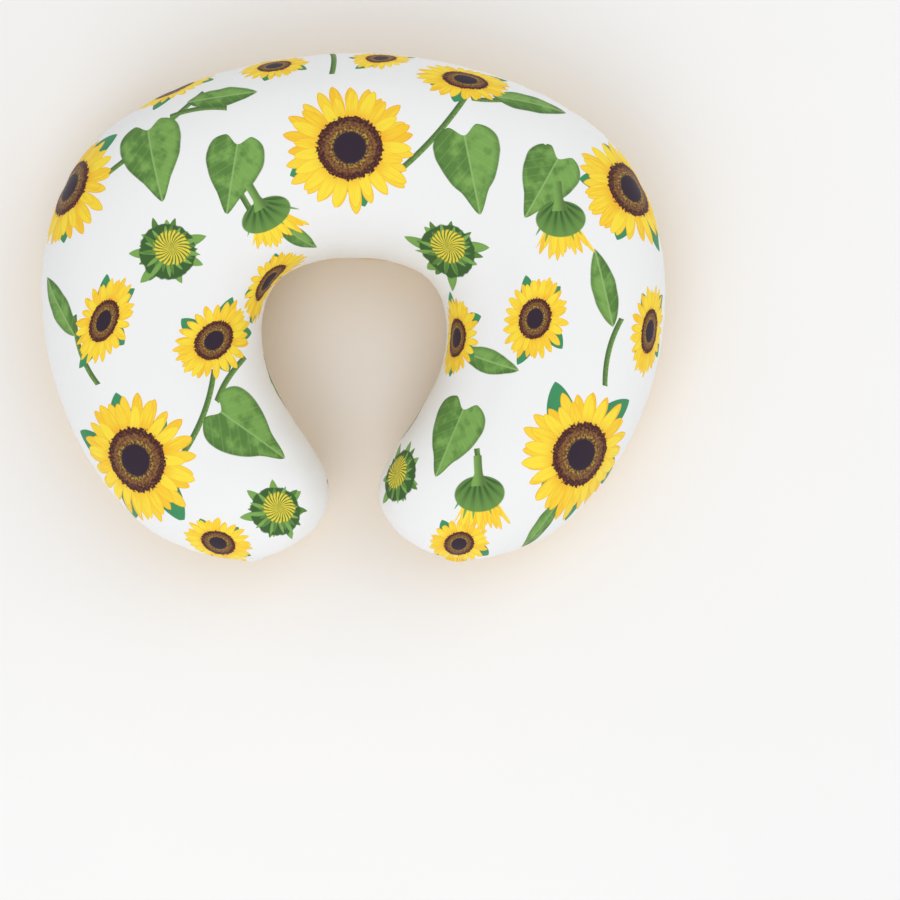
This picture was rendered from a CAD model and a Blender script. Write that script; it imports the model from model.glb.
import bpy
import bmesh
import math
import numpy as np
from mathutils import Matrix, Vector, noise


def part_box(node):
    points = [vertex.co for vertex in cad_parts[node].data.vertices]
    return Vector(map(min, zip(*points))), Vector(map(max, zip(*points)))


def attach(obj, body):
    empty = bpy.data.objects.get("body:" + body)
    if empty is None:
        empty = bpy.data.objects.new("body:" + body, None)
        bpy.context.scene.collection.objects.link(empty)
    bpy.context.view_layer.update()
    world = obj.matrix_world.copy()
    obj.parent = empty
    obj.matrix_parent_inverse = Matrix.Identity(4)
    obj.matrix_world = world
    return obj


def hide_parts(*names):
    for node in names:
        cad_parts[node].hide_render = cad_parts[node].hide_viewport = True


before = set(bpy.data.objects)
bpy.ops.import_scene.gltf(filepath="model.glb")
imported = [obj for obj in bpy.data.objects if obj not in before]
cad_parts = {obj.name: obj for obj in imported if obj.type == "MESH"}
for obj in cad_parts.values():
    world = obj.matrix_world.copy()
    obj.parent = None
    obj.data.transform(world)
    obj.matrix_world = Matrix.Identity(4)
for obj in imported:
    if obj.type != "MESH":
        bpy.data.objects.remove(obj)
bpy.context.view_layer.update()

scene = bpy.context.scene
scene.view_settings.view_transform = "Standard"

# shape of the pillow
low, high = [np.array(corner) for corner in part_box("front_panel")]
seamZ = float(low[2])
crown = float(high[2] - low[2])  # height of the top over the seam

pillow = dict(
    width=float(high[0] - low[0]),
    depth=float(high[1] - low[1]),
    topY=float(high[1]),
    topRadius=0.406,  # plan radius of the outer edge at the top of the C
    topArcHalfWidth=0.190,
    fullness=2.3,  # superellipse exponent of a cross-section
    stepsAlong=176,
    stepsAcross=46,
    startInset=0.0035,  # how much slimmer the pillow starts, before it is blown up
    pressure=100.0,
    spareCloth=0.02,  # share by which the cloth is larger than what it starts on
    blowFrames=10,
    sinkCap=0.0008,  # how far a blown-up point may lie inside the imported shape
    swellCap=0.0030,  # and outside it
    slideCap=0.004,  # and along it
    restZ=0.0,
)

arcInner = [(0.0, 0.405), (0.089, 0.408), (0.166, 0.421), (0.225, 0.440)]
armStations = [
    ((0.832, 0.178), (0.264, 0.466), 1.0),
    ((0.936, 0.273), (0.287, 0.500), 1.0),
    ((0.992, 0.390), (0.297, 0.542), 1.0),
    ((1.000, 0.511), (0.292, 0.590), 0.99),
    ((0.970, 0.634), (0.264, 0.648), 0.985),
    ((0.905, 0.746), (0.204, 0.717), 0.98),
    ((0.823, 0.833), (0.134, 0.782), 0.97),
    ((0.743, 0.893), (0.088, 0.840), 0.93),
    ((0.650, 0.943), (0.086, 0.893), 0.82),
    ((0.545, 0.976), (0.136, 0.944), 0.62),
    ((0.445, 0.995), (0.221, 0.981), 0.37),
    ((0.372, 0.9995), (0.288, 0.9955), 0.17),
    ((0.330, 1.0), (0.330, 1.0), 0.0),
]


def place(share):
    return share[0] * pillow["width"] / 2, pillow["topY"] - share[1] * pillow["depth"]


def stationRows():
    # outer x, y, inner x, y and height share at each station of the right half
    rows = []
    sweep = math.asin(pillow["topArcHalfWidth"] / pillow["topRadius"])
    arcY = pillow["topY"] - pillow["topRadius"]
    for i, inner in enumerate(arcInner):
        turn = sweep * i / (len(arcInner) - 1)
        outer = (pillow["topRadius"] * math.sin(turn), arcY + pillow["topRadius"] * math.cos(turn))
        rows.append((*outer, *place(inner), 1.0))
    for outer, inner, share in armStations:
        rows.append((*place(outer), *place(inner), share))
    return np.array(rows)


def smoothThrough(rows, at):
    # a smooth curve through rows that are one apart, mirrored at the first and straight at the last
    flip = np.array([-1, 1, -1, 1, 1])
    padded = np.vstack([rows[1] * flip, rows, 2 * rows[-1] - rows[-2]])
    i = np.clip(np.floor(at).astype(int), 0, len(rows) - 2)
    t = (at - i)[:, None]
    a, b, c, d = (padded[i + k] for k in range(4))
    return 0.5 * (2 * b + (c - a) * t + (2 * a - 5 * b + 4 * c - d) * t**2 + (3 * b - a - 3 * c + d) * t**3)


rows = stationRows()
fineAt = np.linspace(0, len(rows) - 1, 1500)
fine = smoothThrough(rows, fineAt)
fine[:, 4] = np.clip(fine[:, 4], 0, 1)
crest = np.column_stack([(fine[:, 0:2] + fine[:, 2:4]) / 2, fine[:, 4] * crown])
armRun = np.concatenate([[0], np.cumsum(np.linalg.norm(np.diff(crest, axis=0), axis=1))])
armLength = float(armRun[-1])


def sections(along):
    # outer point, inner point and height for places along the C, from -1 to 1
    at = np.interp(np.abs(along) * armLength, armRun, fineAt)
    found = smoothThrough(rows, at)
    flip = np.where(along < 0, -1.0, 1.0)
    outer = np.column_stack([found[:, 0] * flip, found[:, 1]])
    inner = np.column_stack([found[:, 2] * flip, found[:, 3]])
    return outer, inner, np.clip(found[:, 4], 0, 1)


def profile(turn):
    # across (1 at the outer seam, -1 at the inner) and up, for an angle round the section
    c, s = np.cos(turn), np.sin(turn)
    power = 2 / pillow["fullness"]
    return np.sign(c) * np.abs(c) ** power, np.sign(s) * np.abs(s) ** power


def evenTurns(count):
    # angles round half a section that space the points evenly on its curve
    turn = np.linspace(0, math.pi, 2000)
    x, z = profile(turn)
    run = np.concatenate([[0], np.cumsum(np.hypot(np.diff(x) * 0.098, np.diff(z) * crown))])
    return np.interp(np.linspace(0, run[-1], count + 1), run, turn), run[-1]


def soft(value, start, end):
    t = np.clip((value - start) / (end - start), 0, 1)
    return t * t * (3 - 2 * t)


# the blown-up body
def bodyGrid():
    # the whole pillow as one skin: a grid wrapped round every section, closed at the seam and the arm ends
    nu, nv = pillow["stepsAlong"], pillow["stepsAcross"]
    bm = bmesh.new()
    bmesh.ops.create_grid(bm, x_segments=nu, y_segments=2 * nv, size=1.0)
    bm.verts.ensure_lookup_table()
    spots = np.array([v.co[:2] for v in bm.verts])
    along = np.round(spots[:, 0], 6)
    step = np.round((spots[:, 1] + 1) * nv).astype(int)
    turns, _ = evenTurns(nv)
    under = 2 * math.pi - turns[np.clip(2 * nv - step, 0, nv)]
    turn = np.where(step <= nv, turns[np.clip(step, 0, nv)], under)
    outer, inner, share = sections(along)
    middle, reach = (outer + inner) / 2, (outer - inner) / 2
    half = np.linalg.norm(reach, axis=1)
    slim = np.clip(1 - pillow["startInset"] / np.maximum(half, 1e-6), 0, 1)[:, None]
    across, up = profile(turn)
    edge = soft(np.abs(across), 0.90, 1.0)[:, None]
    xy = middle + reach * across[:, None] * (slim * (1 - edge) + edge)
    z = seamZ + up * share * (crown - pillow["startInset"])
    full = np.column_stack([middle + reach * across[:, None], seamZ + up * share * crown])
    span = np.where(step <= nv, step, 2 * nv - step) / nv  # 0 at the outer seam, 1 at the inner
    sectionRun = half * 2 * evenTurns(nv)[1] / (2 * 0.098)
    bm.verts.layers.float.new("alongPlace")
    bm.verts.layers.float.new("span")
    bm.verts.layers.float_vector.new("full")
    bm.loops.layers.uv.new("cloth")
    bm.faces.layers.int.new("back")
    bm.verts.ensure_lookup_table()
    bm.verts.index_update()
    alongLayer = bm.verts.layers.float["alongPlace"]
    spanLayer = bm.verts.layers.float["span"]
    cloth = bm.loops.layers.uv["cloth"]
    back = bm.faces.layers.int["back"]
    flat = middle + (reach / np.maximum(half, 1e-6)[:, None]) * ((0.5 - span) * sectionRun)[:, None]
    for face in bm.faces:
        face[back] = int(np.mean([step[v.index] for v in face.verts]) > nv)
        for loop in face.loops:
            loop[cloth].uv = flat[loop.vert.index]
    fullLayer = bm.verts.layers.float_vector["full"]
    for v in bm.verts:
        v[fullLayer] = full[v.index]
        v[alongLayer] = along[v.index]
        v[spanLayer] = span[v.index]
    for v, p, q in zip(bm.verts, xy, z):
        v.co = (p[0], p[1], q)
    bmesh.ops.remove_doubles(bm, verts=bm.verts, dist=2e-5)
    bmesh.ops.dissolve_degenerate(bm, edges=bm.edges, dist=1e-6)
    bmesh.ops.recalc_face_normals(bm, faces=bm.faces)
    mesh = bpy.data.meshes.new("blownPillow")
    bm.to_mesh(mesh)
    bm.free()
    body = bpy.data.objects.new("blownPillow", mesh)
    scene.collection.objects.link(body)
    return body


def coordinates(mesh):
    spots = np.empty(len(mesh.vertices) * 3)
    mesh.vertices.foreach_get("co", spots)
    return spots.reshape(-1, 3)


def blowUp(body):
    # cloth held at its seam, blown up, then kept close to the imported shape
    before = coordinates(body.data)
    count = len(body.data.vertices)
    full = np.empty(count * 3)
    body.data.attributes["full"].data.foreach_get("vector", full)
    full = full.reshape(-1, 3)
    spots = full.copy()
    span = np.array([d.value for d in body.data.attributes["span"].data])
    held = body.vertex_groups.new(name="seam")
    held.add([int(i) for i in np.flatnonzero((span < 1e-4) | (span > 1 - 1e-4))], 1.0, "REPLACE")
    cloth = body.modifiers.new("Cloth", "CLOTH")
    cloth.settings.vertex_group_mass = "seam"
    cloth.settings.use_pressure = True
    cloth.settings.uniform_pressure_force = pillow["pressure"]
    cloth.settings.shrink_min = -pillow["spareCloth"]
    cloth.settings.effector_weights.gravity = 0
    cloth.settings.quality = 4
    cloth.settings.tension_stiffness = 5
    cloth.settings.compression_stiffness = 5
    cloth.settings.shear_stiffness = 2
    cloth.settings.bending_stiffness = 0.1
    cloth.point_cache.frame_start, cloth.point_cache.frame_end = 1, pillow["blowFrames"]
    for step in range(1, pillow["blowFrames"] + 1):
        scene.frame_set(step)
    seen = body.evaluated_get(bpy.context.evaluated_depsgraph_get())
    after = coordinates(seen.data)
    body.modifiers.remove(cloth)
    scene.frame_set(1)
    swelled = np.linalg.norm(after - before, axis=1) * 1000
    print("swelled by", round(float(swelled.mean()), 1), "to", round(float(swelled.max()), 1), "mm")
    body.data.vertices.foreach_set("co", full.ravel())
    body.data.update()
    normals = np.empty(count * 3)
    body.data.vertices.foreach_get("normal", normals)
    normals = normals.reshape(-1, 3)
    moved = after - full
    out = (moved * normals).sum(axis=1)
    slide = moved - normals * out[:, None]
    size = np.linalg.norm(slide, axis=1)[:, None]
    slide *= np.minimum(1, pillow["slideCap"] / np.maximum(size, 1e-9))
    out = softLimit(out, -pillow["sinkCap"], pillow["swellCap"])
    spots = full + slide + normals * out[:, None]
    spots[:, 2] = np.maximum(spots[:, 2], pillow["restZ"])
    body.data.vertices.foreach_set("co", spots.ravel())
    body.data.update()


def softLimit(value, lowest, highest):
    # squeezes values smoothly between two limits
    middle, half = (lowest + highest) / 2, (highest - lowest) / 2
    return middle + half * np.tanh((value - middle) / half)


body = bodyGrid()
print("body", len(body.data.vertices), "points")
blowUp(body)

# the two cover panels
panelShape = dict(
    slotHalf=0.005,  # half the slot's height
    slotEnd=0.1745,  # along the edge, each way from the middle
    slotFade=0.016,
    slotBlend=0.016,  # height over which the cloth above the slot is squeezed up
    allowance=0.008,
    printWall=0.0008,
    plushWall=0.0014,
    outerRoll=0.0045,  # how far the seam is rolled down, except at the top of the hollow
    tuck=0.0022,  # how far the plush is drawn in under the seam round the outside
    tuckReach=0.030,
    wrinkleHeight=0.0018,
    plushWrinkle=0.0032,
    puckerHeight=0.0007,
)


def edgePlace(xy):
    # distance along the top edge from the middle, about the arc's centre
    arcY = pillow["topY"] - pillow["topRadius"]
    return np.arctan2(xy[:, 0], xy[:, 1] - arcY) * pillow["topRadius"]


def seamLift(spots, span, side):
    # how the seam moves: open at the slot, and rolled down elsewhere
    place = np.abs(edgePlace(spots[:, :2]))
    ends = panelShape["slotEnd"]
    opened = 1 - soft(place, ends, ends + panelShape["slotFade"])
    opened *= (spots[:, 1] > 0) & (span < 0.5)
    above = side * (spots[:, 2] - seamZ)
    squeeze = np.clip(1 - above / panelShape["slotBlend"], 0, 1)
    lift = side * opened * panelShape["slotHalf"] * squeeze
    edge = np.minimum(span, 1 - span)
    sink = panelShape["outerRoll"] * soft(edge, 0.20, 0.0) * (1 - opened) * (1 - hollowTop(spots, span))
    return lift - sink


def hollowTop(spots, span):
    return soft(span, 0.5, 0.8) * soft(spots[:, 1], -0.03, 0.02)


def tucked(spots, span, normals):
    # the plush drawn in under the seam, except at the top of the hollow
    reach = np.clip(1 - np.abs(spots[:, 2] - seamZ) / panelShape["tuckReach"], 0, 1) ** 2
    inner = hollowTop(spots, span)
    way = normals * (1.0, 1.0, 0.0)
    way /= np.maximum(np.linalg.norm(way, axis=1), 1e-6)[:, None]
    return spots - way * (panelShape["tuck"] * reach * (1 - inner))[:, None]


def wrinkles(spots, span, along, normals, side):
    # soft folds that run out from the inner curve, and small puckers along the seam
    offsets = np.zeros(len(spots))
    for i in range(len(spots)):
        a, s = along[i] * armLength, span[i]
        fromInner = 1 - s
        seed = 11.0 if side > 0 else 47.0
        patch = noise.noise(Vector((a * 7.0, side * 3.0, seed))) * 0.5 + 0.5
        reach = 0.18 + 0.25 * patch
        near = max(0.0, 1 - fromInner / reach)
        bend = a + 0.02 * noise.noise(Vector((a * 12, s * 6, seed + 5)))
        fold = noise.noise(Vector((bend * 62, s * 3.2, seed + 9)))
        broad = noise.noise(Vector((a * 22, s * 9, seed + 21)))
        edge = min(s, 1 - s)
        pucker = noise.noise(Vector((a * 120, edge * 8, seed + 33))) * math.exp(-((edge / 0.035) ** 2))
        height = panelShape["wrinkleHeight" if side > 0 else "plushWrinkle"]
        height *= near**1.3 * patch**1.5 * fold * 1.5 + 0.30 * broad
        offsets[i] = height + panelShape["puckerHeight"] * pucker * 2
        offsets[i] *= min(1.0, edge / 0.004)
    return spots + normals * offsets[:, None]


def panelMesh(name, side):
    # one panel cut from the body, its edge turned in at the seam and round the zipper's slot
    bm = bmesh.new()
    bm.from_mesh(body.data)
    back = bm.faces.layers.int["back"]
    unwanted = [f for f in bm.faces if f[back] != (0 if side > 0 else 1)]
    bmesh.ops.delete(bm, geom=unwanted, context="FACES")
    bm.normal_update()
    spanLayer = bm.verts.layers.float["span"]
    alongLayer = bm.verts.layers.float["alongPlace"]
    spots = np.array([v.co[:] for v in bm.verts])
    span = np.array([v[spanLayer] for v in bm.verts])
    along = np.array([v[alongLayer] for v in bm.verts])
    normals = np.array([v.normal[:] for v in bm.verts])
    spots = wrinkles(spots, span, along, normals, side)
    spots[:, 2] += seamLift(spots, span, side)
    if side < 0:
        spots = tucked(spots, span, normals)
    spots[:, 2] = np.maximum(spots[:, 2], pillow["restZ"])
    for v, p in zip(bm.verts, spots):
        v.co = p
    if side > 0:
        find = flatFinder(bm)
        for layer in printLayout:
            layMotifs(bm, layer, motifRows(layer, find))
    turnIn(bm, side)
    mesh = bpy.data.meshes.new(name)
    bm.to_mesh(mesh)
    bm.free()
    panel = bpy.data.objects.new(name, mesh)
    scene.collection.objects.link(panel)
    return panel


def turnIn(bm, side):
    # turns the raw edge in behind the seam, in two steps, so that the fold is round
    alongLayer = bm.verts.layers.float["alongPlace"]
    for share in (0.25, 0.75):
        rim = [e for e in bm.edges if e.is_boundary]
        lines = {}
        for e in rim:
            for v in e.verts:
                lines.setdefault(v, []).append(e.other_vert(v).co - v.co)
        inward = {}
        for v, steps in lines.items():
            outer, inner, _ = sections(np.array([v[alongLayer]]))
            middle = (outer + inner)[0] / 2
            way = Vector((middle[0] - v.co.x, middle[1] - v.co.y, 0))
            line = (steps[0] - steps[1]) if len(steps) > 1 else steps[0]
            sideways = Vector((-line.y, line.x, 0)).normalized()
            inward[v.co.copy().freeze()] = sideways if sideways.dot(way) > 0 else -sideways
        grown = bmesh.ops.extrude_edge_only(bm, edges=rim)
        for v in [g for g in grown["geom"] if isinstance(g, bmesh.types.BMVert)]:
            way = inward[v.co.copy().freeze()]
            v.co += way * panelShape["allowance"] * share
    bmesh.ops.recalc_face_normals(bm, faces=bm.faces)
    top = max(bm.faces, key=lambda f: side * f.calc_center_median().z)
    if top.normal.z * side < 0:
        bmesh.ops.reverse_faces(bm, faces=bm.faces)


def flatFinder(bm):
    # gives the place on the flat cloth that lies at a plan point of the panel
    cloth = bm.loops.layers.uv["cloth"]
    seen = {}
    for face in bm.faces:
        for loop in face.loops:
            seen[loop.vert] = loop[cloth].uv[:]
    plan = np.array([v.co[:2] for v in seen])
    flat = np.array(list(seen.values()))

    def find(x, y):
        return flat[np.argmin((plan[:, 0] - x) ** 2 + (plan[:, 1] - y) ** 2)]

    return find


def layMotifs(bm, layer, motifs):
    # gives the faces near each motif its own coordinates, a seed and a kind
    bm.loops.layers.uv.new(layer)
    bm.faces.layers.float.new(layer + "Seed")
    bm.faces.layers.float.new(layer + "Kind")
    cloth, own = (bm.loops.layers.uv[name] for name in ("cloth", layer))
    seedLayer, kindLayer = (bm.faces.layers.float[layer + name] for name in ("Seed", "Kind"))
    x, y, rx, ry, turn = (np.array([m[k] for m in motifs]) for k in ("x", "y", "rx", "ry", "turn"))
    c, s = np.cos(turn), np.sin(turn)

    def local(point):
        dx, dy = point[0] - x, point[1] - y
        return (dx * c + dy * s) / rx, (dy * c - dx * s) / ry

    pad = 0.011
    for face in bm.faces:
        corners = [loop[cloth].uv.copy() for loop in face.loops]
        u, v = local(sum(corners, corners[0] * 0) / len(corners))
        near = (np.abs(u) * rx < rx + pad) & (np.abs(v) * ry < ry + pad)
        if not near.any():
            for loop in face.loops:
                loop[own].uv = (9.0, 9.0)
            continue
        best = int(np.argmin(np.where(near, np.hypot(u, v), 99)))
        face[seedLayer] = motifs[best]["seed"]
        face[kindLayer] = motifs[best]["kind"]
        for loop, corner in zip(face.loops, corners):
            u, v = local(corner)
            loop[own].uv = (u[best], v[best])


def finishPanel(panel, wall):
    for face in panel.data.polygons:
        face.use_smooth = True
    rounder = panel.modifiers.new("Subdivision", "SUBSURF")
    rounder.levels = rounder.render_levels = 1
    rounder.uv_smooth = "NONE"
    thick = panel.modifiers.new("Solidify", "SOLIDIFY")
    thick.thickness = wall
    thick.offset = -1


printLayout = dict(
    # centre x and y and half length in mm, turn in degrees, squash across the turn, kind
    stems=[
        (-168, 148, 56, 44, 0.214, 0.45), (74, 148, 48, 50, 0.25, 0.35), (-128, -101, 40, 66, 0.30, 0.4),
        (-231, -42, 32, 290, 0.375, 0.5), (226, -46, 30, 76, 0.40, -0.4), (112, -146, 18, 100, 0.66, 0.0),
        (-94, 92, 16, 120, 0.75, 0.0), (180, 88, 16, 110, 0.75, 0.0), (-17, 214, 24, 95, 0.5, 0.2),
    ],
    twigs=[
        (-133, 168, 26, 5, 0.46, -0.3), (128, 176, 26, 10, 0.46, 0.3), (-108, -68, 24, 50, 0.5, -0.3),
    ],
    leaves=[
        (-171, 124, 34, 285, 1, 0), (105, 120, 34, 280, 1, 0), (-92, -112, 34, 325, 1, 0),
        (-102, 112, 30, 262, 1, 0), (172, 106, 30, 240, 1, 0), (92, -116, 30, 250, 1, 0),
        (-112, 176, 32, 5, 1, 1), (158, 176, 36, 355, 1, 1), (-256, -5, 34, 125, 1, 1),
        (120, -54, 30, 345, 1, 1), (222, 10, 34, 105, 1, 1), (-54, -60, 24, 120, 1, 1),
        (46, -84, 26, 70, 1, 1), (168, -196, 26, 60, 1, 1),
        (-46, 58, 22, 320, 1, 1),
    ],
    heads=[
        (3, 132, 60, 10, 1.0, 0), (-249, 102, 60, 80, 0.92, 0), (247, 100, 60, 200, 0.95, 0),
        (-190, -138, 60, 130, 1.0, 0), (204, -136, 60, 300, 1.0, 0),
        (-212, -16, 42, 60, 0.62, 0), (-122, -35, 42, 30, 0.76, 0), (160, -16, 38, 70, 0.80, 0),
        (262, -28, 44, 80, 0.62, 0), (92, -30, 34, 70, 0.8, 0), (98, 196, 46, 0, 0.62, 0),
        (-160, 190, 44, 25, 0.6, 0), (30, 216, 32, 200, 0.7, 0), (-72, 210, 34, 5, 0.7, 0),
        (-116, -212, 34, 350, 0.7, 0), (96, -214, 30, 15, 0.8, 0), (-76, 20, 34, 60, 0.7, 0),
    ],
    buds=[
        (-158, 40, 38, 340, 0.95, 0), (86, 44, 38, 20, 0.95, 0), (-66, -184, 36, 350, 0.9, 0),
        (42, -152, 34, 80, 0.9, 0),
        (-70, 72, 38, 30, 0.9, 1), (182, 62, 38, 5, 1.0, 1), (112, -174, 38, 5, 1.0, 1),
    ],
)


def motifRows(layer, find):
    # the motifs of one layer, with their centres moved from the plan to the flat cloth
    found = []
    for i, (x, y, half, turn, squash, kind) in enumerate(printLayout[layer]):
        flat = find(x / 1000, y / 1000)
        size = dict(rx=half / 1000, ry=half * squash / 1000, turn=math.radians(turn))
        found.append(dict(x=flat[0], y=flat[1], seed=i + 1.0, kind=float(kind), **size))
    return found


coverFront = panelMesh("coverFront", 1)
coverBack = panelMesh("coverBack", -1)
bpy.data.objects.remove(body)
finishPanel(coverFront, panelShape["printWall"])
finishPanel(coverBack, panelShape["plushWall"])
print("panels", len(coverFront.data.vertices), len(coverBack.data.vertices))

# node formulas
class Signal:
    # a value in a node tree that can be used in plain arithmetic

    def __init__(self, socket):
        self.socket = socket
        self.tree = socket.id_data

    def __add__(self, other):
        return calc("ADD", self, other)

    def __radd__(self, other):
        return calc("ADD", other, self)

    def __sub__(self, other):
        return calc("SUBTRACT", self, other)

    def __rsub__(self, other):
        return calc("SUBTRACT", other, self)

    def __mul__(self, other):
        return calc("MULTIPLY", self, other)

    def __rmul__(self, other):
        return calc("MULTIPLY", other, self)

    def __truediv__(self, other):
        return calc("DIVIDE", self, other)



def calc(operation, *values):
    tree = next(v.tree for v in values if isinstance(v, Signal))
    node = tree.nodes.new("ShaderNodeMath")
    node.operation = operation
    for place, value in zip(node.inputs, values):
        feed(place, value)
    return Signal(node.outputs[0])


def feed(place, value):
    if isinstance(value, Signal):
        value.tree.links.new(value.socket, place)
    else:
        place.default_value = value


def ramp(value, start, end, low=0.0, high=1.0):
    # goes smoothly from low to high while the value goes from start to end
    node = value.tree.nodes.new("ShaderNodeMapRange")
    node.interpolation_type = "SMOOTHSTEP"
    sockets = ("Value", "From Min", "From Max", "To Min", "To Max")
    for name, given in zip(sockets, (value, start, end, low, high)):
        feed(node.inputs[name], given)
    return Signal(node.outputs[0])


def tint(factor, first, second):
    # the first colour where the factor is 0 and the second where it is 1
    node = factor.tree.nodes.new("ShaderNodeMix")
    node.data_type = "RGBA"
    feed(node.inputs[0], factor)
    for place, value in ((node.inputs[6], first), (node.inputs[7], second)):
        feed(place, value if isinstance(value, Signal) else (*value, 1.0))
    return Signal(node.outputs[2])


def chance(value):
    # a random number from 0 to 1 for each whole value
    node = value.tree.nodes.new("ShaderNodeTexWhiteNoise")
    node.noise_dimensions = "1D"
    feed(node.inputs["W"], value)
    return Signal(node.outputs["Value"])


def grain(x, y, scale, detail=2.0):
    node = x.tree.nodes.new("ShaderNodeTexNoise")
    node.noise_dimensions = "2D"
    node.inputs["Scale"].default_value = scale
    node.inputs["Detail"].default_value = detail
    feed(node.inputs["Vector"], vector(x, y))
    return Signal(node.outputs["Fac"])


def vector(x, y, z=0.0):
    tree = next(v.tree for v in (x, y, z) if isinstance(v, Signal))
    node = tree.nodes.new("ShaderNodeCombineXYZ")
    for place, value in zip(node.inputs, (x, y, z)):
        feed(place, value)
    return Signal(node.outputs[0])


def split(signal):
    node = signal.tree.nodes.new("ShaderNodeSeparateXYZ")
    feed(node.inputs[0], signal)
    return [Signal(out) for out in node.outputs]


def uvMap(tree, name):
    node = tree.nodes.new("ShaderNodeUVMap")
    node.uv_map = name
    return Signal(node.outputs[0])


def attribute(tree, name):
    node = tree.nodes.new("ShaderNodeAttribute")
    node.attribute_name = name
    return Signal(node.outputs["Fac"])


def freshMaterial(name, roughness, sheen=0.0):
    material = bpy.data.materials.new(name)
    material.use_nodes = True
    tree = material.node_tree
    shader = tree.nodes["Principled BSDF"]
    shader.inputs["Roughness"].default_value = roughness
    shader.inputs["Sheen Weight"].default_value = sheen
    shader.inputs["Sheen Roughness"].default_value = 0.35
    return material, tree, shader


def bumped(tree, shader, height, strength, distance):
    node = tree.nodes.new("ShaderNodeBump")
    node.inputs["Strength"].default_value = strength
    node.inputs["Distance"].default_value = distance
    feed(node.inputs["Height"], height)
    tree.links.new(node.outputs["Normal"], shader.inputs["Normal"])


# the sunflower print
inks = dict(
    ground=(0.90, 0.905, 0.91),
    petal=(0.97, 0.60, 0.022),
    petalPale=(1.0, 0.78, 0.045),
    petalDeep=(0.85, 0.27, 0.006),
    disc=(0.050, 0.008, 0.010),
    discRim=(0.15, 0.040, 0.014),
    discWarm=(0.24, 0.125, 0.030),
    discFleck=(0.42, 0.32, 0.035),
    discCore=(0.022, 0.008, 0.024),
    leaf=(0.095, 0.225, 0.040),
    leafPale=(0.20, 0.40, 0.085),
    leafDeep=(0.040, 0.115, 0.022),
    vein=(0.30, 0.50, 0.16),
    stem=(0.10, 0.19, 0.045),
    budYellow=(0.85, 0.66, 0.045),
    sepal=(0.045, 0.28, 0.11),
    sepalDeep=(0.02, 0.13, 0.06),
)


def petals(under, r, turn, seed, count, phase, base, short, long, dark):
    # a ring of pointed petals over a colour; r and turn are polar, with the longest petals at r = long
    place = (turn + math.pi) * (count / (2 * math.pi)) + phase
    index = calc("FLOOR", place)
    petal = calc("MODULO", index, count)
    luck = chance(petal + seed * 57.0 + phase * 11.0)
    other = chance(petal + seed * 31.0 + phase * 7.0 + 900.0)
    length = luck * (long - short) + short
    run = (r - base) / (length - base)
    lean = (other - 0.5) * 0.6
    side = (place - index) * 2.0 - 1.0 + lean * run
    edge = calc("POWER", calc("MAXIMUM", run, 0.0), 3.2)
    width = calc("POWER", calc("MAXIMUM", 1.0 - edge, 0.0), 0.70) * 1.12
    gap = width - calc("ABSOLUTE", side)
    inside = ramp(gap * r, 0.0, 0.022) * calc("LESS_THAN", run, 1.0)
    streak = grain(side * 1.5 + petal * 3.7, run * 0.5 + seed, 3.2, 3.0)
    root = ramp(run, 0.62, 0.05) * (luck * 0.5 + 0.45)
    rib = ramp(calc("ABSOLUTE", side), 0.14, 0.0) * ramp(run, 0.9, 0.2) * 0.40
    rim = ramp(gap, 0.22, 0.0) * 0.50
    deep = calc("MAXIMUM", root, calc("MAXIMUM", rib, rim)) * (streak + 0.40)
    bright = tint(ramp(streak + other * 0.5, 0.40, 0.85), inks["petal"], inks["petalPale"])
    colour = tint(calc("MINIMUM", deep + dark, 1.0), bright, inks["petalDeep"])
    return tint(inside, under[0], colour), calc("MAXIMUM", under[1], inside)


def spikes(under, r, turn, seed, count, phase, long, first, second):
    # a ring of thin pointed green sepals
    place = (turn + math.pi) * (count / (2 * math.pi)) + phase
    index = calc("FLOOR", place)
    luck = chance(calc("MODULO", index, count) + seed * 43.0 + phase * 5.0 + 300.0)
    length = (luck * 0.35 + 0.65) * long
    run = r / length
    side = (place - index) * 2.0 - 1.0 + (luck - 0.5) * run * 1.2
    width = calc("POWER", calc("MAXIMUM", 1.0 - run, 0.0), 0.8) * 1.15
    gap = width - calc("ABSOLUTE", side)
    inside = ramp(gap * r, 0.0, 0.02) * calc("LESS_THAN", run, 1.0)
    shade = ramp(calc("ABSOLUTE", side), 0.0, 0.9) * 0.7 + ramp(run, 0.6, 0.1) * 0.4 * luck
    colour = tint(calc("MINIMUM", shade, 1.0), first, second)
    return tint(inside, under[0], colour), calc("MAXIMUM", under[1], inside)


def polar(x, y):
    r = calc("SQRT", x * x + y * y)
    return r, calc("ARCTAN2", y, x)


def openFlower(x, y, seed, ground):
    # seen face on: green tips, two rings of petals and a dark seeded disc
    r, turn = polar(x, y)
    picture = (ground, r * 0.0)
    picture = spikes(picture, r, turn, seed + 60.0, 5.0, 0.3, 1.16, inks["sepal"], inks["sepalDeep"])
    picture = petals(picture, r, turn, seed, 23.0, 0.0, 0.28, 0.86, 1.0, 0.14)
    picture = petals(picture, r, turn, seed, 21.0, 0.5, 0.28, 0.76, 0.95, 0.0)
    flecks = grain(x, y, 30.0, 1.0)
    ragged = grain(x, y, 22.0, 1.0) * 0.11
    colour = tint(ramp(flecks, 0.50, 0.66), inks["disc"], inks["discRim"])
    warm = ramp(r + ragged, 0.45, 0.41)
    colour = tint(warm, colour, tint(ramp(flecks, 0.36, 0.62), inks["discRim"], inks["discWarm"]))
    olive = ramp(r + ragged, 0.36, 0.32)
    colour = tint(olive * ramp(flecks, 0.50, 0.60), colour, inks["discFleck"])
    colour = tint(ramp(r, 0.265, 0.215), colour, inks["discCore"])
    inside = ramp(r + ragged, 0.540, 0.515)
    return tint(inside, picture[0], colour), calc("MAXIMUM", picture[1], inside)


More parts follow.
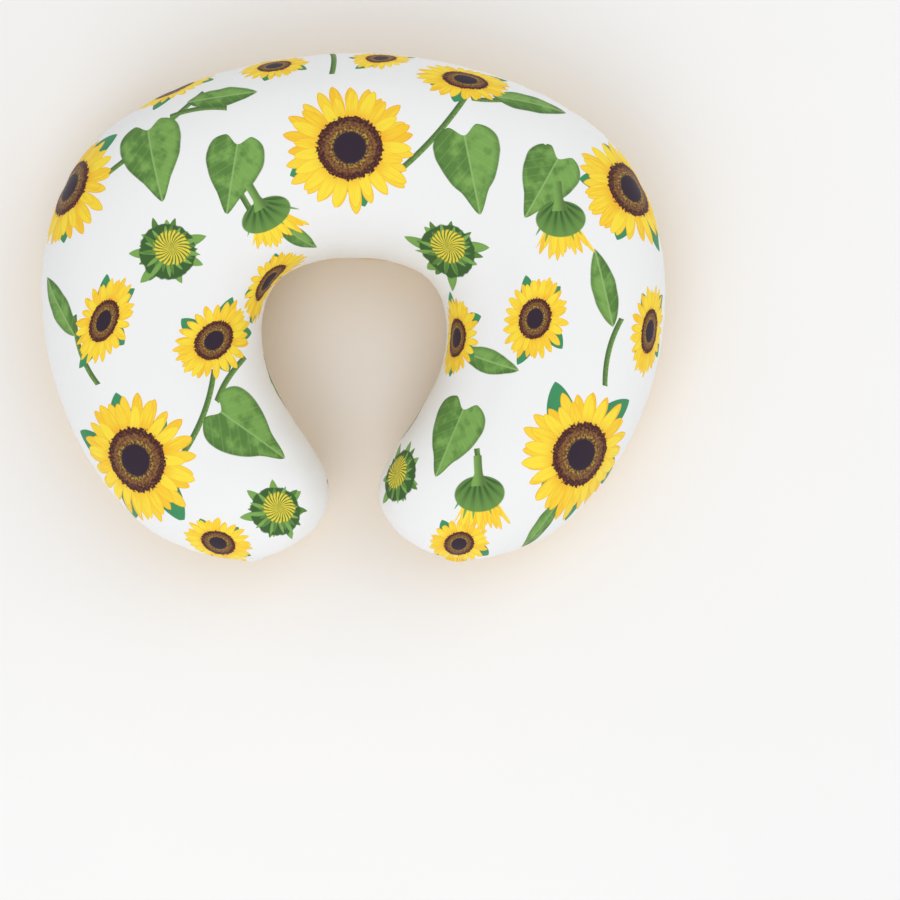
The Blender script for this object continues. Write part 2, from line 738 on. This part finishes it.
def roundBud(x, y, seed, ground):
    # a closed bud: broad sepals and scales round a core of curled yellow petals
    r, turn = polar(x, y)
    light, mid, deep = inks["leafPale"], inks["leaf"], inks["leafDeep"]
    picture = (ground, r * 0.0)
    picture = spikes(picture, r, turn, seed, 7.0, 0.0, 1.05, light, mid)
    picture = spikes(picture, r, turn, seed, 9.0, 0.4, 0.88, mid, deep)
    body = ramp(r + grain(x, y, 5.0, 1.0) * 0.1, 0.72, 0.68)
    colour = tint(body, picture[0], inks["leafDeep"])
    scales = spikes((colour, picture[1]), r, turn + 0.3, seed + 9.0, 12.0, 0.2, 0.80, light, mid)
    scales = spikes(scales, r, turn, seed + 5.0, 11.0, 0.7, 0.68, mid, light)
    coreX, coreY = x - 0.06, y - 0.12
    r, turn = polar(coreX, coreY)
    core = ramp(r + grain(x, y, 14.0, 1.0) * 0.12, 0.50, 0.44)
    strands = calc("SINE", (turn + r * 1.1) * 24.0) + grain(x, y, 9.0, 2.0) * 1.6 - 0.8
    yellow = tint(ramp(strands, -0.6, 0.1), mid, inks["budYellow"])
    colour = tint(core, scales[0], yellow)
    return colour, calc("MAXIMUM", picture[1], body)


def hangingHead(x, y, seed, ground):
    # a nodding flower from its side: petals under a green cup, fanned out along -y
    top = y - 0.70
    r, turn = polar(x, 0.0 - top)
    away = calc("ABSOLUTE", turn - math.pi / 2)
    picture = (ground, r * 0.0)
    picture = petals(picture, r, turn, seed, 41.0, 0.0, 0.3, 1.35, 1.60, 0.12)
    picture = petals(picture, r, turn, seed, 37.0, 0.5, 0.3, 1.22, 1.50, 0.0)
    colour = tint(ramp(away, 0.56, 0.52), ground, picture[0])
    fringe = spikes((colour, picture[1]), r, turn, seed, 27.0, 0.25, 1.22, inks["leafPale"], inks["leaf"])
    colour = tint(ramp(away, 0.80, 0.74), colour, fringe[0])
    bulge = calc("SQRT", x * x * 2.1 + (y - 0.20) * (y - 0.20) * 4.2)
    cup = ramp(bulge, 0.96, 0.90)
    scales = ramp(calc("SINE", turn * 19.0 + r * 2.0), -0.7, 0.7)
    shaded = tint(ramp(r, 0.35, 1.0) * 0.6 + scales * 0.4, inks["leafDeep"], inks["leafPale"])
    colour = tint(cup, colour, tint(scales * 0.5, shaded, inks["leaf"]))
    neck = ramp(calc("ABSOLUTE", x) - calc("MAXIMUM", 0.72 - y, 0.0) * 0.35, 0.12, 0.09)
    neck = neck * calc("GREATER_THAN", y, 0.40) * calc("LESS_THAN", y, 1.15)
    return tint(neck, colour, tint(ramp(x, -0.10, 0.12), inks["leafPale"], inks["stem"])), cup


def leafShape(x, y, seed, pointed, ground):
    # a leaf along +x from 0 to 1, heart shaped or pointed
    notch = ramp(calc("ABSOLUTE", y), 0.20, 0.0) * 0.15 * (1.0 - pointed)
    run = (x - notch + 0.03) / 1.03
    blunt = pointed * 0.42 + 0.36
    rise = calc("POWER", calc("MAXIMUM", run, 0.0), blunt)
    body = rise * calc("POWER", calc("MAXIMUM", 1.0 - run, 0.0), pointed * 0.12 + 0.78)
    half = body * (pointed * -0.30 + 0.88)
    wave = grain(x, seed * 40.0, 3.0, 1.0) * 0.04
    gap = half - calc("ABSOLUTE", y) + wave - 0.02
    inside = ramp(gap, 0.0, 0.02)
    side = calc("GREATER_THAN", y, 0.0)
    mottled = grain(x, y + seed * 9.0, 5.0, 3.0)
    colour = tint(ramp(mottled + side * 0.22, 0.40, 0.78), inks["leaf"], inks["leafPale"])
    colour = tint(ramp(gap, 0.10, 0.0) * 0.55, colour, inks["leafDeep"])
    rung = (x - calc("ABSOLUTE", y) * 0.85) * 6.5
    rib = calc("ABSOLUTE", rung - calc("FLOOR", rung) - 0.5)
    colour = tint(ramp(rib, 0.10, 0.03) * 0.22, colour, inks["vein"])
    colour = tint(ramp(calc("ABSOLUTE", y), 0.018, 0.006) * 0.8, colour, inks["vein"])
    return tint(inside, ground, colour), inside


def stemStroke(x, y, ground):
    # a stem, with its middle at y = 0 and its edges at y = -1 and 1
    inside = ramp(calc("ABSOLUTE", y), 1.0, 0.8) * calc("GREATER_THAN", x, 0.0)
    colour = tint(ramp(y, -0.7, 0.7), inks["leafPale"], inks["leafDeep"])
    return tint(inside, ground, tint(ramp(grain(x * 6.0, y, 3.0), 0.35, 0.65), colour, inks["stem"]))


def printedCotton():
    # white cotton with the sunflower print, worked out from the print's own coordinates
    material, tree, shader = freshMaterial("printedCotton", 0.82, 0.15)
    flatX, flatY, _ = split(uvMap(tree, "cloth"))
    tone = grain(flatX, flatY, 18.0, 2.0)
    colour = tint(tone, inks["ground"], [value * 0.985 for value in inks["ground"]])
    for layer in ("stems", "twigs"):
        x, y, _ = split(uvMap(tree, layer))
        bend = attribute(tree, layer + "Kind")
        colour = stemStroke(1.0 - calc("ABSOLUTE", x), (y + bend * (1.0 - x * x) - bend * 0.5) * 4.2, colour)
    x, y, _ = split(uvMap(tree, "leaves"))
    seed, kind = attribute(tree, "leavesSeed"), attribute(tree, "leavesKind")
    colour, _ = leafShape(x * 0.5 + 0.5, y * 0.5, seed, kind, colour)
    x, y, _ = split(uvMap(tree, "heads"))
    colour, _ = openFlower(x, y, attribute(tree, "headsSeed"), colour)
    x, y, _ = split(uvMap(tree, "buds"))
    seed, kind = attribute(tree, "budsSeed"), attribute(tree, "budsKind")
    closed, _ = roundBud(x, y, seed, colour)
    hanging, _ = hangingHead(x * 1.1, y * 1.1, seed, colour)
    colour = tint(kind, closed, hanging)
    feed(shader.inputs["Base Color"], colour)
    threads = calc("SINE", flatX * 9000.0) * calc("SINE", flatY * 9000.0)
    crease = grain(flatX, flatY, 60.0, 3.0)
    bumped(tree, shader, threads * 0.2 + crease, 0.25, 0.0006)
    return material


def plushPile():
    # mustard plush with a soft pile that is brushed lighter and darker
    material, tree, shader = freshMaterial("plushPile", 0.95, 0.6)
    flatX, flatY, _ = split(uvMap(tree, "cloth"))
    cloud = grain(flatX, flatY, 16.0, 3.0)
    brushed = grain(flatX * 3.0, flatY, 90.0, 3.0)
    pile = grain(flatX, flatY, 900.0, 2.0)
    light = ramp(cloud * 0.40 + brushed * 0.16 + pile * 0.16, 0.24, 0.50)
    feed(shader.inputs["Base Color"], tint(light, (0.70, 0.385, 0.010), (0.84, 0.545, 0.045)))
    bumped(tree, shader, pile * 0.7 + brushed * 0.35, 0.5, 0.0008)
    return material


def objectPlace(tree):
    node = tree.nodes.new("ShaderNodeTexCoord")
    return split(Signal(node.outputs["Object"]))


def wovenMaterial(name, first, second, pitch, roughness=0.85):
    # fine woven cloth on the piece's own object coordinates
    material, tree, shader = freshMaterial(name, roughness, 0.2)
    x, y, z = objectPlace(tree)
    turn = 2 * math.pi / pitch
    threads = calc("SINE", x * turn) * calc("SINE", y * turn) + calc("SINE", z * turn) * 0.5
    tone = grain(x + z, y, 30.0, 3.0)
    feed(shader.inputs["Base Color"], tint(ramp(threads * 0.2 + tone, 0.3, 0.8), first, second))
    bumped(tree, shader, threads, 0.3, 0.0002)
    return material


def twistedThread():
    material, tree, shader = freshMaterial("twistedThread", 0.6, 0.1)
    x, y, z = objectPlace(tree)
    strands = calc("SINE", (x + y + z * 1.5) * 9000.0)
    feed(shader.inputs["Base Color"], tint(ramp(strands, -0.7, 0.7), (0.72, 0.71, 0.68), (0.90, 0.89, 0.86)))
    bumped(tree, shader, strands, 0.4, 0.0001)
    return material


def satinLabel():
    material, tree, shader = freshMaterial("satinLabel", 0.35, 0.1)
    x, y, z = objectPlace(tree)
    ribs = calc("SINE", x * 12000.0)
    tone = grain(x, z + y, 60.0, 2.0)
    feed(shader.inputs["Base Color"], tint(ramp(tone, 0.3, 0.7), (0.86, 0.86, 0.85), (0.93, 0.93, 0.92)))
    bumped(tree, shader, ribs, 0.15, 0.0001)
    return material


def mouldedNylon():
    material, tree, shader = freshMaterial("mouldedNylon", 0.38)
    x, y, z = objectPlace(tree)
    tone = grain(x + z, y, 120.0, 2.0)
    feed(shader.inputs["Base Color"], tint(ramp(tone, 0.3, 0.7), (0.82, 0.82, 0.80), (0.92, 0.92, 0.90)))
    bumped(tree, shader, tone, 0.1, 0.0001)
    return material


def paintedMetal():
    # the slider and its tab: zinc with a thin white enamel
    material, tree, shader = freshMaterial("paintedMetal", 0.28)
    shader.inputs["Coat Weight"].default_value = 0.4
    x, y, z = objectPlace(tree)
    tone = grain(x + z, y, 300.0, 3.0)
    feed(shader.inputs["Base Color"], tint(ramp(tone, 0.35, 0.75), (0.80, 0.80, 0.79), (0.90, 0.90, 0.89)))
    bumped(tree, shader, tone, 0.12, 0.0001)
    return material


def looseFibre():
    material, tree, shader = freshMaterial("looseFibre", 0.95, 0.5)
    x, y, z = objectPlace(tree)
    strands = grain(x * 4.0 + z, y, 220.0, 4.0)
    feed(shader.inputs["Base Color"], tint(ramp(strands, 0.3, 0.7), (0.80, 0.80, 0.79), (0.94, 0.94, 0.93)))
    bumped(tree, shader, strands, 0.8, 0.0015)
    return material


def giveMaterial(piece, material):
    piece.data.materials.clear()
    piece.data.materials.append(material)


giveMaterial(coverFront, printedCotton())
giveMaterial(coverBack, plushPile())
finishes = dict(
    zipper_tape=wovenMaterial("zipperTape", (0.78, 0.78, 0.76), (0.90, 0.90, 0.88), 0.0008),
    zipper_coil=mouldedNylon(),
    zipper_metal=paintedMetal(),
    casing_fabric=wovenMaterial("casingFabric", (0.80, 0.80, 0.78), (0.92, 0.92, 0.90), 0.0006),
    fibre=looseFibre(),
    thread=twistedThread(),
    label=satinLabel(),
)
slotOf = dict(
    cover_seam_thread="thread", care_label="label",
    zipper_tape_front="zipper_tape", zipper_tape_back="zipper_tape",
    zipper_stitches_front="thread", zipper_stitches_back="thread", zipper_top_stop_front="zipper_metal",
    zipper_top_stop_back="zipper_metal", zipper_bottom_stop="zipper_metal", zipper_teeth_front="zipper_coil",
    zipper_teeth_back="zipper_coil", slider_body="zipper_metal", pull_tab="zipper_metal",
    insert_casing_front="casing_fabric", insert_casing_back="casing_fabric", insert_seam_thread="thread",
    insert_closing_stitches="thread", insert_label="label", fibre_fill="fibre",
)
for node, finish in slotOf.items():
    giveMaterial(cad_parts[node], finishes[finish])
print("materials", len(finishes) + 2)

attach(coverFront, "pillow")
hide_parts("front_panel")
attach(coverBack, "pillow")
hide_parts("back_panel")

# floor, lights and camera
studio = dict(
    floorSize=6.0,
    floorDrop=0.0005,
    lensMm=85.0,
    cameraX=0.0867,
    cameraY=-0.130,
    cameraZ=1.993,
    worldStrength=0.72,
    keyWatts=16.0,
    fillWatts=9.0,
)
bm = bmesh.new()
bmesh.ops.create_grid(bm, x_segments=1, y_segments=1, size=studio["floorSize"] / 2)
mesh = bpy.data.meshes.new("floor")
bm.to_mesh(mesh)
bm.free()
mesh.transform(Matrix.Translation((0, 0, -studio["floorDrop"])))
floor = bpy.data.objects.new("floor", mesh)
scene.collection.objects.link(floor)
material, tree, shader = freshMaterial("paleFloor", 0.9)
x, y, z = objectPlace(tree)
feed(shader.inputs["Base Color"], tint(grain(x, y, 4.0, 2.0), (0.93, 0.93, 0.93), (0.95, 0.95, 0.95)))
giveMaterial(floor, material)

world = bpy.data.worlds.new("studioWorld")
scene.world = world
world.use_nodes = True
world.node_tree.nodes["Background"].inputs["Color"].default_value = (1.0, 1.0, 1.0, 1.0)
world.node_tree.nodes["Background"].inputs["Strength"].default_value = studio["worldStrength"]


def softLight(name, spot, size, watts):
    lamp = bpy.data.lights.new(name, "AREA")
    lamp.size = size
    lamp.energy = watts
    light = bpy.data.objects.new(name, lamp)
    light.location = spot
    light.rotation_euler = (Vector((0, 0, 0.07)) - Vector(spot)).to_track_quat("-Z", "Y").to_euler()
    scene.collection.objects.link(light)


softLight("keyLight", (-0.5, -1.6, 2.0), 1.6, studio["keyWatts"])
softLight("fillLight", (1.4, 0.8, 1.8), 1.8, studio["fillWatts"])

lens = bpy.data.cameras.new("camera")
lens.lens = studio["lensMm"]
lens.sensor_width = 36.0
camera = bpy.data.objects.new("camera", lens)
camera.location = (studio["cameraX"], studio["cameraY"], studio["cameraZ"])
scene.collection.objects.link(camera)
scene.camera = camera
